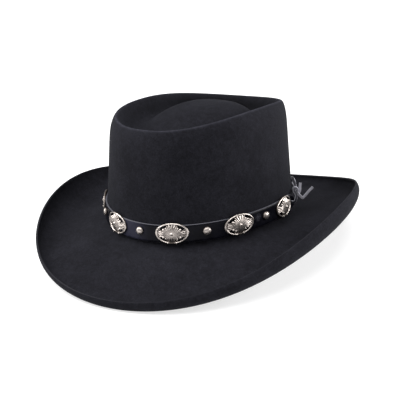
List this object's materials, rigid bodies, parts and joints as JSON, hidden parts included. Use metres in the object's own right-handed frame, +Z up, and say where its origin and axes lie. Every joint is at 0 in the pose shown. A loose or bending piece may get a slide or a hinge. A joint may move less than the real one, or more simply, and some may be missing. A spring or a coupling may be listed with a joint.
{
  "type": "gambler hat",
  "caption": "Black felt gambler hat with a telescope crown, a brim curled up at the sides, and a leather band with pierced oval conchos, dome studs and a tied thong.",
  "frame": {"origin": "middle of the plan of the hat, on the surface that the brim rests on", "axes": "+Z up from that surface, -Y towards the front of the hat, +X towards the wearer's left, where the band is tied"},
  "size_m": [0.3108, 0.3542, 0.1434],
  "materials": {
    "felt": "matt wool felt",
    "leather": "semi-gloss",
    "silver": "polished antique silver plate",
    "thong": "satin"
  },
  "bodies": {
    "root": {"felt_body": "felt", "hat_band": "leather", "concho_1": "silver", "concho_2": "silver", "concho_3": "silver", "concho_4": "silver", "concho_5": "silver", "concho_6": "silver", "concho_7": "silver", "concho_8": "silver", "concho_9": "silver", "stud_1": "silver", "stud_2": "silver", "stud_3": "silver", "stud_4": "silver", "stud_5": "silver", "stud_6": "silver", "stud_7": "silver", "stud_8": "silver", "tie_thong": "thong"}
  },
  "joints": []
}
